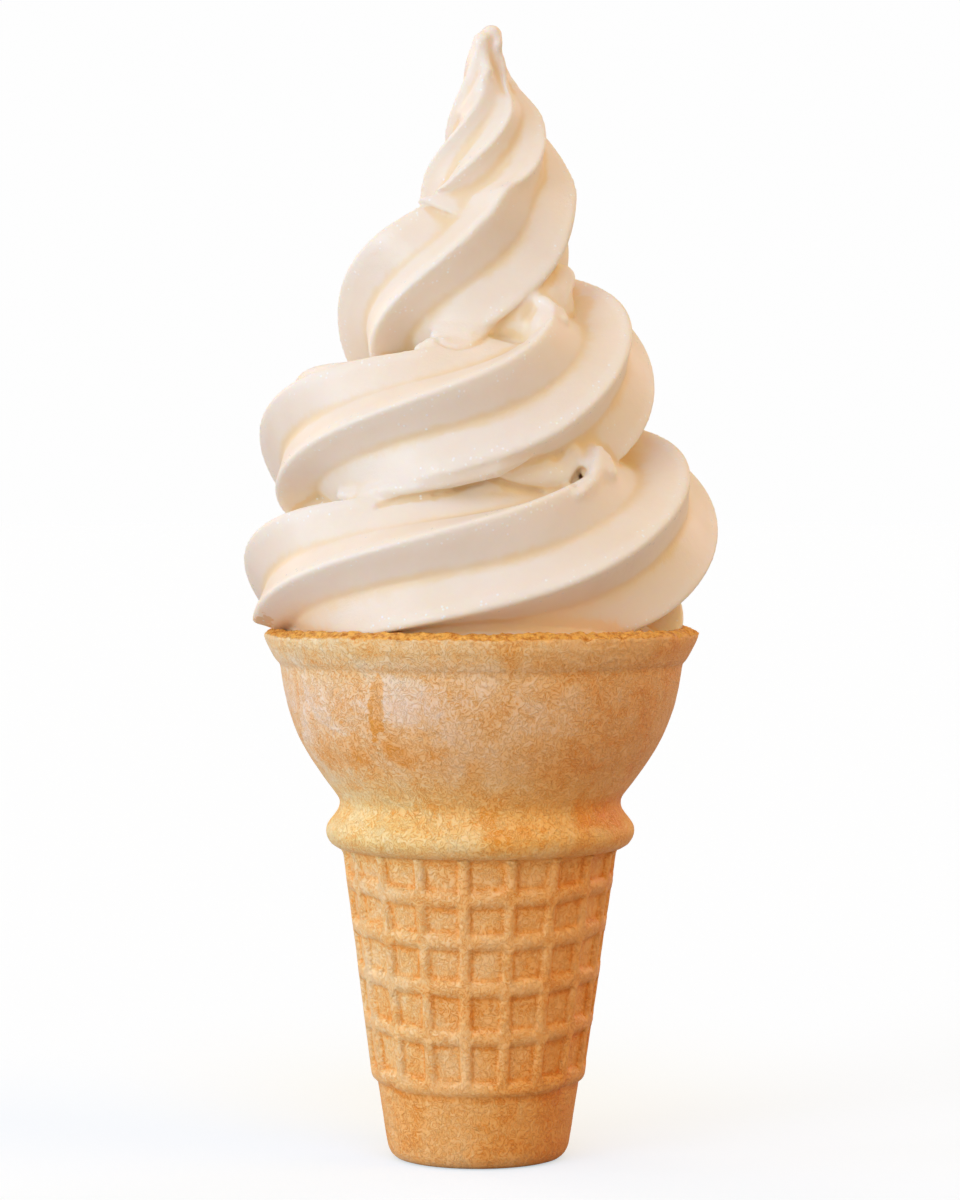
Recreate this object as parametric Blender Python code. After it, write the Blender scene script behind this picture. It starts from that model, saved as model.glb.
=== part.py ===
"""Soft serve ice cream piped in a three-turn swirl on a flat-bottomed wafer cup.

Two pieces: the wafer cup, a thin-walled cup that stands on its flat base, and the soft serve, one body
that fills the cup and rises above its rim. The origin is the centre of the base, with +Z up, and -Y is the
side that faces the viewer. The constants are in millimetres; the meshes are built in metres.
"""

import math

import bpy
import numpy as np

MM = 0.001
GAP = 0.3
SHARP_ANGLE = math.radians(35)

# Wafer cup: outside radii and heights, from the base up.
BASE_FLAT_RADIUS = 11.2
BASE_EDGE_ROUND = 1.9
STEM_FOOT_RADIUS = 13.1
BAND_TOP_RADIUS = 14.4
BAND_TOP = 10.7
LATTICE_FOOT_RADIUS = 15.0
STEM_TOP_RADIUS = 19.4
STEM_TOP = 44.5
COLLAR_RADIUS = 22.1
COLLAR_HEIGHT = 47.2
COLLAR_ROUND = 1.1
NECK_RADIUS = 20.0
NECK_HEIGHT = 51.9
BOWL_TOP_RADIUS = 28.9
BOWL_TOP = 71.3
BOWL_POWER = 1.4
BOWL_STEPS = 7
RIM_RADIUS = 31.1
RIM_FLARE_HEIGHT = 74.9
RIM_OUTER_TOP = 75.9
RIM_INNER_TOP = 76.5
WALL = 2.1
FLOOR = 2.5

# Waffle lattice on the stem: raised rings and ribs round sunken cells.
RING_HEIGHTS = (12.3, 19.9, 26.9, 33.4, 39.6)
RING_HALF_WIDTH = 0.5
RING_FOOT = 1.2
LATTICE_TOP = 43.9
RIB_COUNT = 18
RIB_PHASE = math.radians(-96.7)
RIB_HALF_WIDTH = math.radians(1.6)
RIB_FOOT = math.radians(3.4)
RELIEF = 0.45
UPPER_SIDES = 36
INNER_SIDES = 36

# Soft serve: a six-ridged rope laid in a rising coil. One value for each half turn; turn 0 points along +X.
FIRST_TURN = -1.5
TURN_STEP = 0.5
START_TURN = -1.25
END_TURN = 2.47
COIL_RADIUS = (13.5, 18.0, 21.5, 20.0, 17.5, 12.5, 6.5, 1.0, 2.0)
COIL_HEIGHT = (64.0, 71.5, 82.0, 91.0, 102.0, 112.5, 123.0, 138.0, 161.0)
ROPE_RADIUS = (13.0, 13.5, 14.0, 14.0, 14.0, 14.0, 13.5, 11.5, 1.5)
COIL_SHIFT = (0.5, 0.5, 0.5, 0.0, -1.0, -1.5, -0.5, 1.5, 2.5)
COIL_SETBACK = (0.0, 0.0, 0.0, 0.5, 0.5, 0.0, 0.0, 0.5, -3.0)
ROPE_TWIST = (0, -5, -15, -15, -5, -10, 5, 25, 170)
# How the hand wandered as it turned: what is added on the left, at the front and on the right.
SWAY_SIDES = (-150.0, -90.0, -30.0)
SWAY_REACH = 120.0
SWAY_FADE = (1.3, 2.1)
RADIUS_SWAY = (3.0, -4.0, 1.5)
HEIGHT_SWAY = (1.5, -2.0, -0.5)
ROPE_SWAY = (-3.0, -0.5, -1.0)
TWIST_SWAY = (-25.0, 15.0, -5.0)
SQUARENESS = 0.08
# The inside of the bend stops short of the point it bends round.
INNER_LIMIT = 0.7
SMALL_TURN = 0.01

# Section of the rope as shares of its radius: each ridge has a rounded crest and straight flanks.
RIDGES = 6
RIDGE_PHASE = 257.0
CREST = 0.99
SHOULDER = 0.93
SHOULDER_SHARE = 0.13
VALLEY = 0.68
STEPS_PER_TURN = 26
TIP_RINGS = 2
FILL_PEAK = 84.0
# Ice cream pressed into the middle of the coil: radius and height, set back from the viewer.
CORE = ((16.0, 60.0), (24.0, 80.0), (21.4, 90.5), (19.0, 103.0), (15.5, 110.0), (8.0, 118.0), (5.0, 123.5))
CORE_SETBACK = 2.0
CORE_SIDES = 24
MOULD_RADIUS = 50.0
WELD = 0.0005


def make_object(name, vertices, faces):
    mesh = bpy.data.meshes.new(name)
    mesh.from_pydata([tuple(float(c) * MM for c in v) for v in vertices], [], faces)
    mesh.shade_smooth()
    mesh.set_sharp_from_angle(angle=SHARP_ANGLE)
    part = bpy.data.objects.new(name, mesh)
    bpy.context.scene.collection.objects.link(part)
    return part


def add_material(part, name, colour, roughness):
    material = bpy.data.materials.new(name)
    material.use_nodes = True
    shader = material.node_tree.nodes["Principled BSDF"]
    shader.inputs["Base Color"].default_value = (*colour, 1.0)
    shader.inputs["Roughness"].default_value = roughness
    shader.inputs["Metallic"].default_value = 0.0
    material.diffuse_color = (*colour, 1.0)
    part.data.materials.append(material)


def even_angles(sides):
    return [2 * math.pi * k / sides for k in range(sides)]


def lattice_angles():
    """Angles of the rib edges: foot, top, top, foot of each rib in turn."""
    edges = (-RIB_FOOT, -RIB_HALF_WIDTH, RIB_HALF_WIDTH, RIB_FOOT)
    return [RIB_PHASE + 2 * math.pi * k / RIB_COUNT + edge for k in range(RIB_COUNT) for edge in edges]


def ring_of(angles, radii, height):
    return [(r * math.cos(a), r * math.sin(a), height) for a, r in zip(angles, radii)]


def join_rings(low, low_angles, high, high_angles):
    """Triangles and quads between two closed rings that go round the same way."""
    if len(low) == len(high):
        count = len(low)
        return [(low[k], low[(k + 1) % count], high[(k + 1) % count], high[k]) for k in range(count)]
    start = min(range(len(high)), key=lambda k: abs(math.remainder(high_angles[k] - low_angles[0], math.tau)))
    first = math.remainder(high_angles[start] - low_angles[0], math.tau)
    low_turn = [(a - low_angles[0]) % math.tau for a in low_angles] + [math.tau]
    high_turn = [first + (high_angles[(start + k) % len(high)] - high_angles[start]) % math.tau
                 for k in range(len(high))] + [first + math.tau]
    faces = []
    i = 0
    j = 0
    while i < len(low) or j < len(high):
        a = low[i % len(low)]
        b = high[(start + j) % len(high)]
        if j == len(high) or (i < len(low) and low_turn[i + 1] <= high_turn[j + 1]):
            faces.append((a, low[(i + 1) % len(low)], b))
            i += 1
        else:
            faces.append((a, high[(start + j + 1) % len(high)], b))
            j += 1
    return faces


def stem_radius(height):
    """Radius of the raised ribs and rings; the plain band below them is narrower."""
    share = (height - BAND_TOP) / (STEM_TOP - BAND_TOP)
    return LATTICE_FOOT_RADIUS + (STEM_TOP_RADIUS - LATTICE_FOOT_RADIUS) * share


def bowl_radius(height):
    drop = (BOWL_TOP - height) / (BOWL_TOP - NECK_HEIGHT)
    return NECK_RADIUS + (BOWL_TOP_RADIUS - NECK_RADIUS) * (1 - drop**BOWL_POWER) ** (1 / BOWL_POWER)


def lattice_rows():
    """Rows of the stem, each with its height and whether it is raised all round."""
    rows = [(RING_HEIGHTS[0] - RING_HALF_WIDTH, True)]
    for ring, after in zip(RING_HEIGHTS, [*RING_HEIGHTS[1:], None]):
        rows.append((ring + RING_HALF_WIDTH, True))
        rows.append((ring + RING_FOOT, False))
        if after:
            rows.append((after - RING_FOOT, False))
            rows.append((after - RING_HALF_WIDTH, True))
    rows.append((LATTICE_TOP, False))
    return rows


def upper_profile():
    """Outside of the cup above the stem, then over the rim: radius and height."""
    points = [(STEM_TOP_RADIUS + 0.1, STEM_TOP)]
    for angle in (-70, -20, 25, 70):
        swing = math.radians(angle)
        points.append((COLLAR_RADIUS - COLLAR_ROUND * (1 - math.cos(swing)),
                       COLLAR_HEIGHT + COLLAR_ROUND * math.sin(swing)))
    points.append((NECK_RADIUS + 0.1, NECK_HEIGHT - 1.7))
    points.append((NECK_RADIUS, NECK_HEIGHT - 0.5))
    for k in range(1, BOWL_STEPS + 1):
        swing = math.radians(90 * k / BOWL_STEPS)
        height = NECK_HEIGHT + (BOWL_TOP - NECK_HEIGHT) * (1 - math.cos(swing))
        points.append((bowl_radius(height), height))
    lip = RIM_FLARE_HEIGHT - BOWL_TOP
    points.append((BOWL_TOP_RADIUS + 0.62 * (RIM_RADIUS - BOWL_TOP_RADIUS), BOWL_TOP + 0.55 * lip))
    points.append((RIM_RADIUS, RIM_FLARE_HEIGHT))
    points.append((RIM_RADIUS - 0.3, RIM_OUTER_TOP))
    points.append((RIM_RADIUS - WALL - 0.1, RIM_INNER_TOP))
    points.append((RIM_RADIUS - WALL - 0.5, RIM_INNER_TOP - 0.6))
    return points


def inner_profile():
    """Inside of the cup from just under the rim down to the floor."""
    points = [(BOWL_TOP_RADIUS - WALL, BOWL_TOP)]
    for k in (5, 4, 3, 2, 1):
        swing = math.radians(90 * k / 6)
        height = NECK_HEIGHT + (BOWL_TOP - NECK_HEIGHT) * (1 - math.cos(swing))
        points.append((bowl_radius(height) - WALL * (1 + 0.12 * (6 - k) / 6), height + 0.12 * WALL))
    points.append((NECK_RADIUS - WALL, NECK_HEIGHT - 0.5))
    points.append((STEM_TOP_RADIUS - WALL, STEM_TOP - 1.5))
    points.append((BAND_TOP_RADIUS - WALL, BAND_TOP))
    points.append((STEM_FOOT_RADIUS - WALL + 0.1, FLOOR + 1.5))
    points.append((STEM_FOOT_RADIUS - WALL - 1.2, FLOOR))
    return points


def wafer_cup():
    vertices = []
    rings = []

    def add_ring(angles, radii, height):
        first = len(vertices)
        vertices.extend(ring_of(angles, radii, height))
        rings.append((list(range(first, len(vertices))), angles))

    ribs = lattice_angles()
    round_base = even_angles(UPPER_SIDES)
    add_ring(round_base, [BASE_FLAT_RADIUS] * UPPER_SIDES, 0.0)
    for angle in (30, 60, 90):
        swing = math.radians(angle)
        radius = BASE_FLAT_RADIUS + (STEM_FOOT_RADIUS - BASE_FLAT_RADIUS) * math.sin(swing)
        add_ring(round_base, [radius] * UPPER_SIDES, BASE_EDGE_ROUND * (1 - math.cos(swing)))
    add_ring(round_base, [BAND_TOP_RADIUS] * UPPER_SIDES, BAND_TOP)
    for height, raised in lattice_rows():
        radius = stem_radius(height)
        on_rib = (False, True, True, False)
        radii = [radius - (0.0 if raised or on_rib[k % 4] else RELIEF) for k in range(len(ribs))]
        add_ring(ribs, radii, height)
    for radius, height in upper_profile():
        add_ring(even_angles(UPPER_SIDES), [radius] * UPPER_SIDES, height)
    for radius, height in inner_profile():
        add_ring(even_angles(INNER_SIDES), [radius] * INNER_SIDES, height)

    faces = [tuple(reversed(rings[0][0])), tuple(rings[-1][0])]
    for (low, low_angles), (high, high_angles) in zip(rings, rings[1:]):
        faces.extend(join_rings(low, low_angles, high, high_angles))
    cup = make_object("wafer_cup", vertices, faces)
    add_material(cup, "wafer", (0.72, 0.42, 0.17), 0.75)
    return cup


def through_stations(values, turn):
    """A smooth curve through one value at each half turn."""
    padded = np.array([2 * values[0] - values[1], *values, 2 * values[-1] - values[-2]])
    place = (turn - FIRST_TURN) / TURN_STEP
    index = np.clip(np.floor(place).astype(int), 0, len(values) - 2)
    f = place - index
    a, b, c, d = (padded[index + k] for k in range(4))
    return 0.5 * (2 * b + (c - a) * f + (2 * a - 5 * b + 4 * c - d) * f**2 + (3 * b - a - 3 * c + d) * f**3)


def sway(amounts, turn):
    fade = np.clip((SWAY_FADE[1] - turn) / (SWAY_FADE[1] - SWAY_FADE[0]), 0.0, 1.0)
    total = np.zeros(len(turn))
    for side, amount in zip(SWAY_SIDES, amounts):
        away = np.abs((360 * turn - side + 180) % 360 - 180)
        total += amount * np.cos(np.minimum(away / SWAY_REACH, 1.0) * math.pi / 2) ** 2
    return total * fade * fade * (3 - 2 * fade)


def coil_centre(turn):
    radius = through_stations(COIL_RADIUS, turn) + sway(RADIUS_SWAY, turn)
    height = through_stations(COIL_HEIGHT, turn) + sway(HEIGHT_SWAY, turn)
    across = radius * np.cos(2 * math.pi * turn) + through_stations(COIL_SHIFT, turn)
    back = radius * np.sin(2 * math.pi * turn) + through_stations(COIL_SETBACK, turn)
    return np.stack([across, back, height], axis=-1)


def unit(vectors):
    return vectors / np.linalg.norm(vectors, axis=-1, keepdims=True)


def rope_frames(turn):
    """Centre, direction and the two axes across the rope, tipped over from a nozzle that points down."""
    centre = coil_centre(turn)
    along = unit(coil_centre(turn + SMALL_TURN) - coil_centre(turn - SMALL_TURN))
    tip = np.stack([-along[:, 1], along[:, 0], np.zeros(len(turn))], axis=-1)
    lean = 1.0 / (1.0 + along[:, 2:3])
    axes = []
    for flat in (np.array([1.0, 0.0, 0.0]), np.array([0.0, 1.0, 0.0])):
        axes.append(flat * along[:, 2:3] + np.cross(tip, flat) + tip * (tip @ flat)[:, None] * lean)
    return centre, along, axes[0], axes[1]


def bend_of(turn):
    """Vector towards the inside of the bend, as long as one over the bend radius."""
    before, here, after = (coil_centre(turn + k * SMALL_TURN) for k in (-1, 0, 1))
    lengths = np.linalg.norm(after - before, axis=-1, keepdims=True) / 2
    return (unit(after - here) - unit(here - before)) / lengths


def ridge_section():
    """Angle and radius round the rope, as shares of its radius, going once round all the ridges."""
    half = math.pi / RIDGES
    corners = ((0.0, CREST), (SHOULDER_SHARE, SHOULDER), (1.0, VALLEY), (2 - SHOULDER_SHARE, SHOULDER))
    return [(2 * half * ridge + half * share, radius) for ridge in range(RIDGES) for share, radius in corners]


def rope_rings():
    count = round((END_TURN - START_TURN) * STEPS_PER_TURN)
    turn = np.linspace(START_TURN, END_TURN, count + 1)
    centre, along, across, upward = rope_frames(turn)
    radius = through_stations(ROPE_RADIUS, turn) + sway(ROPE_SWAY, turn)
    twist = np.radians(RIDGE_PHASE + through_stations(ROPE_TWIST, turn) + sway(TWIST_SWAY, turn))
    bend = bend_of(turn)
    rings = []
    for angle, share in ridge_section():
        swing = (twist + angle)[:, None]
        way = np.cos(swing) * across + np.sin(swing) * upward
        rise = way[:, 2:3]
        size = radius[:, None] * share * (1 + 4 * SQUARENESS * rise**2 * (1 - rise**2))
        crowding = size[:, 0] * (way * bend).sum(axis=-1) / INNER_LIMIT
        rings.append(centre + size * way / np.maximum(crowding, 1.0)[:, None])
    return np.stack(rings, axis=1), centre, along, radius


def soft_serve_rope():
    rings, centre, along, radius = rope_rings()
    sides = rings.shape[1]
    rows = list(rings)
    for k in range(1, TIP_RINGS + 1):
        swing = math.radians(90 * k / (TIP_RINGS + 1))
        top = centre[-1] + along[-1] * radius[-1] * math.sin(swing)
        rows.append(top + (rings[-1] - centre[-1]) * math.cos(swing))
    vertices = [v for row in rows for v in row]
    faces = []
    for row in range(len(rows) - 1):
        for k in range(sides):
            low = row * sides + k
            low_next = row * sides + (k + 1) % sides
            faces.append((low, low_next, low_next + sides, low + sides))
    vertices.append(centre[0])
    vertices.append(centre[-1] + along[-1] * radius[-1])
    start = len(vertices) - 2
    last = (len(rows) - 1) * sides
    for k in range(sides):
        after = (k + 1) % sides
        faces.append((start, after, k))
        faces.append((start + 1, last + k, last + after))
    return make_object("soft_serve", vertices, faces)


def turned_body(name, profile, sides):
    """A closed body turned round the vertical axis from a profile that starts and ends on the axis."""
    vertices = [(0.0, 0.0, profile[0][1])]
    angles = even_angles(sides)
    for radius, height in profile[1:-1]:
        vertices.extend(ring_of(angles, [radius] * sides, height))
    vertices.append((0.0, 0.0, profile[-1][1]))
    faces = []
    last = len(vertices) - 1
    for k in range(sides):
        after = (k + 1) % sides
        faces.append((0, 1 + after, 1 + k))
        faces.append((last, last - sides + k, last - sides + after))
        for row in range(len(profile) - 3):
            low = 1 + row * sides
            faces.append((low + k, low + after, low + after + sides, low + k + sides))
    return make_object(name, vertices, faces)


def ring_body(name, profile, sides):
    """A closed ring turned round the vertical axis from a closed profile."""
    angles = even_angles(sides)
    vertices = [v for radius, height in profile for v in ring_of(angles, [radius] * sides, height)]
    count = len(profile)
    faces = []
    for row in range(count):
        low = row * sides
        high = (row + 1) % count * sides
        for k in range(sides):
            after = (k + 1) % sides
            faces.append((high + k, high + after, low + after, low + k))
    return make_object(name, vertices, faces)


def combine(part, other, operation, own_overlaps):
    other.hide_render = True
    other.display_type = "WIRE"
    step = part.modifiers.new(other.name, "BOOLEAN")
    step.operation = operation
    step.solver = "EXACT"
    step.use_self = own_overlaps
    step.object = other


def cup_mould():
    """The cup wall grown by the gap, as a ring that trims whatever would touch or pass through it."""
    inside = [(radius - GAP, height) for radius, height in reversed(inner_profile())]
    top = RIM_INNER_TOP + GAP
    lip = inside[-1][0]
    profile = [*inside[1:], (lip, RIM_INNER_TOP - WALL / 2), (lip + 0.5 * WALL, top), (MOULD_RADIUS, top),
               (MOULD_RADIUS, inside[1][1])]
    return ring_body("cup_mould", profile, INNER_SIDES)


def soft_serve():
    swirl = soft_serve_rope()
    inside = [(radius - GAP, max(height, FLOOR + GAP)) for radius, height in reversed(inner_profile())]
    brim = (inside[-1][0], RIM_INNER_TOP - WALL / 2)
    fill = turned_body("cup_fill", [(0.0, FLOOR + GAP), *inside, brim, (0.0, FILL_PEAK)], INNER_SIDES)
    core = turned_body("core", [(0.0, CORE[0][1]), *CORE, (0.0, CORE[-1][1])], CORE_SIDES)
    core.location.y = CORE_SETBACK * MM
    combine(swirl, core, "UNION", True)
    combine(swirl, fill, "UNION", False)
    combine(swirl, cup_mould(), "DIFFERENCE", False)
    weld = swirl.modifiers.new("weld", "WELD")
    weld.merge_threshold = WELD * MM
    add_material(swirl, "ice_cream", (0.93, 0.86, 0.72), 0.5)
    return swirl


def main():
    for existing in list(bpy.data.objects):
        bpy.data.objects.remove(existing, do_unlink=True)
    wafer_cup()
    soft_serve()


main()
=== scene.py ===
"""Soft serve ice cream on a wafer cake cup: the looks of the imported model. Metres, +Z up, front at -Y."""

import math

import bmesh
import bpy
import numpy as np
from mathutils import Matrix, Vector, noise
from mathutils.bvhtree import BVHTree
from mathutils.kdtree import KDTree


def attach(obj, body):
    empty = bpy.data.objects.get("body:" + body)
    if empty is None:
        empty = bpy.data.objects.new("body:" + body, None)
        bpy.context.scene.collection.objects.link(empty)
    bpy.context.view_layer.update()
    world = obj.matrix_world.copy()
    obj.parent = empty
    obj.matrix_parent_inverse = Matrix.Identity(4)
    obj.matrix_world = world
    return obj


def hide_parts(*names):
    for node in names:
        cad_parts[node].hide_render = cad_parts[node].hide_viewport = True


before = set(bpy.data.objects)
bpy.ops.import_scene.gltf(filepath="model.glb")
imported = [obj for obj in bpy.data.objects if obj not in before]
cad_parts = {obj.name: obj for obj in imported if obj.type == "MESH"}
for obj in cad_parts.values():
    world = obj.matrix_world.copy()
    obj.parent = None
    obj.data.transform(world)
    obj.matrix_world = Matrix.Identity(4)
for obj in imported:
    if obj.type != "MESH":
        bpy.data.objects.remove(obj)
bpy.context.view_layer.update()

MM = 0.001


# ---------------------------------------------------------------- small tools


def smooth_step(value, low, high):
    """0 below low, 1 above high, and a smooth rise between them."""
    share = np.clip((value - low) / (high - low), 0.0, 1.0)
    return share * share * (3 - 2 * share)


def new_object(name, vertices, faces):
    """A smooth mesh object from vertices in millimetres and quads or triangles."""
    mesh = bpy.data.meshes.new(name)
    vertices = np.asarray(vertices, dtype=np.float32) * MM
    faces = np.asarray(faces, dtype=np.int32)
    count, sides = faces.shape
    mesh.vertices.add(len(vertices))
    mesh.vertices.foreach_set("co", vertices.ravel())
    mesh.loops.add(count * sides)
    mesh.loops.foreach_set("vertex_index", faces.ravel())
    mesh.polygons.add(count)
    mesh.polygons.foreach_set("loop_start", np.arange(0, count * sides, sides, dtype=np.int32))
    mesh.update(calc_edges=True)
    mesh.validate()
    mesh.shade_smooth()
    part = bpy.data.objects.new(name, mesh)
    bpy.context.scene.collection.objects.link(part)
    return part


def mesh_arrays(part):
    """Vertices in millimetres and faces, all triangles or all quads, of an object with its modifiers."""
    evaluated = part.evaluated_get(bpy.context.evaluated_depsgraph_get())
    mesh = evaluated.to_mesh()
    vertices = np.empty(len(mesh.vertices) * 3, dtype=np.float32)
    mesh.vertices.foreach_get("co", vertices)
    corners = np.empty(len(mesh.loops), dtype=np.int32)
    mesh.loops.foreach_get("vertex_index", corners)
    sides = len(corners) // len(mesh.polygons)
    evaluated.to_mesh_clear()
    return vertices.reshape(-1, 3).astype(np.float64) / MM, corners.reshape(-1, sides)


def neighbours(faces, count):
    """Each edge both ways, as start and end vertices, and how many edges each vertex has."""
    edges = np.concatenate([np.stack([faces[:, k - 1], faces[:, k]], axis=1) for k in range(faces.shape[1])])
    edges = np.unique(np.sort(edges, axis=1), axis=0)
    both = np.concatenate([edges, edges[:, ::-1]])
    degree = np.bincount(both[:, 0], minlength=count).astype(float)
    return both[:, 0], both[:, 1], degree


def average(values, links):
    """The mean position of each vertex's neighbours."""
    start, end, degree = links
    total = [np.bincount(start, weights=values[end, k], minlength=len(values)) for k in range(3)]
    return np.stack(total, axis=1) / degree[:, None]


def smooth_values(values, links, rounds):
    start, end, degree = links
    for _ in range(rounds):
        values = 0.5 * values + 0.5 * np.bincount(start, weights=values[end], minlength=len(values)) / degree
    return values


def vertex_normals(vertices, faces):
    corner = vertices[faces]
    flat = np.cross(corner[:, 2] - corner[:, 0], corner[:, -1] - corner[:, 1])
    total = np.zeros_like(vertices)
    for k in range(faces.shape[1]):
        for axis in range(3):
            total[:, axis] += np.bincount(faces[:, k], weights=flat[:, axis], minlength=len(vertices))
    return total / np.maximum(np.linalg.norm(total, axis=1, keepdims=True), 1e-12)


def lift_of(vertices, normals, links):
    """How far out along its normal each vertex's neighbours lie: above 0 in a crease, below 0 on a crest."""
    return ((average(vertices, links) - vertices) * normals).sum(axis=1)


def set_attribute(part, name, values):
    layer = part.data.attributes.new(name, "FLOAT", "POINT")
    layer.data.foreach_set("value", np.asarray(values, dtype=np.float32))


def set_hollow(part, vertices, faces, rounds, gain):
    """Stores how hollow (above 0) or how raised (below 0) the surface is at each vertex, from -1 to 1."""
    links = neighbours(faces, len(vertices))
    lift = lift_of(vertices, vertex_normals(vertices, faces), links)
    set_attribute(part, "hollow", np.clip(smooth_values(lift, links, rounds) * gain, -1, 1))


def noise_at(points, size, seed=0.0):
    """Smooth noise of about -1 to 1 with features of the given size in millimetres."""
    offset = Vector((seed * 17.3, seed * -9.1, seed * 5.7))
    return np.array([noise.noise(Vector(p) / size + offset) for p in points])


def relax(vertices, links, rounds, keep=None):
    """Smooths a mesh without shrinking it; keep from 0 to 1 holds vertices back."""
    hold = 1.0 if keep is None else (1.0 - keep)[:, None]
    for _ in range(rounds):
        vertices = vertices + 0.5 * hold * (average(vertices, links) - vertices)
        vertices = vertices - 0.51 * hold * (average(vertices, links) - vertices)
    return vertices


# ---------------------------------------------------------------- soft serve

# The rope's coil, at stations half a turn apart from FIRST_TURN on; turn 0 points along +X. Millimetres and
# degrees. The rope itself runs from START_TURN to END_TURN.
FIRST_TURN = -1.5
TURN_STEP = 0.5
START_TURN = -1.25
END_TURN = 2.47
COIL_RADIUS = (13.5, 18.0, 21.4, 20.2, 17.2, 13.1, 6.3, 1.2, 2.0)
COIL_HEIGHT = (64.0, 71.5, 81.9, 91.0, 101.5, 112.4, 122.5, 137.8, 160.8)
ROPE_RADIUS = (13.0, 13.7, 14.2, 14.2, 14.0, 13.9, 13.4, 11.7, 1.2)
ROPE_TWIST = (0, -6, -15, -14, -7, -8, 4, 27, 169)
# How far the coil's middle wanders from the cone's axis, towards +X and +Y.
COIL_SHIFT = (0.6, 0.6, 0.7, 0.2, -1.2, -1.5, -0.6, 1.3, 2.6)
COIL_SETBACK = (0.0, 0.0, 0.0, 0.7, 0.7, -0.2, 0.0, 0.7, -2.1)
# Unevenness over the front: what each sway adds about these three sides, until it fades between two turns.
SWAY_SIDES = (-150.0, -90.0, -30.0)
SWAY_REACH = 120.0
SWAY_FADE = (1.3, 2.1)
RADIUS_SWAY = (2.8, -4.0, 1.4)
HEIGHT_SWAY = (1.6, -1.8, -0.5)
ROPE_SWAY = (-2.9, -0.6, -1.1)
TWIST_SWAY = (-26.2, 13.7, -6.5)
# The nozzle's star: the valleys' radius as a share of the crests', and how softly the crests are rounded.
RIDGES = 6
RIDGE_PHASE = 257.1
VALLEY = 0.70
EDGE_BLUR = 1.9
# The ridges flatten between these two turns, to the given share of their depth.
RIDGE_FADE = (2.12, 2.46, 0.45)
# How much fuller the rope is on its diagonals.
SQUARENESS = 0.08
# The rope's inner side reaches this share of the way to the centre of its bend at most.
INNER_LIMIT = 0.7
# Step in turns for the coil's direction and bend.
SMALL_TURN = 0.01
ROWS_PER_TURN = 150
SIDES_PER_RIDGE = 24
START_SIZE = 0.02
END_CAP_ANGLES = (23, 38, 53, 68, 83)

# Ice cream that fills the cup and the middle of the coil: radius and height.
FILL = ((0.1, 64.0), (26.6, 64.0), (28.3, 72.0), (28.7, 75.2), (20.0, 80.0), (0.1, 84.0))
FILL_SIDES = 96
CORE = ((0.1, 62.0), (20.0, 66.0), (23.0, 80.0), (21.0, 90.5), (18.6, 103.0), (15.0, 110.0), (8.0, 118.0),
        (0.1, 123.0))
CORE_SIDES = 64
CORE_SETBACK = 2.0
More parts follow.
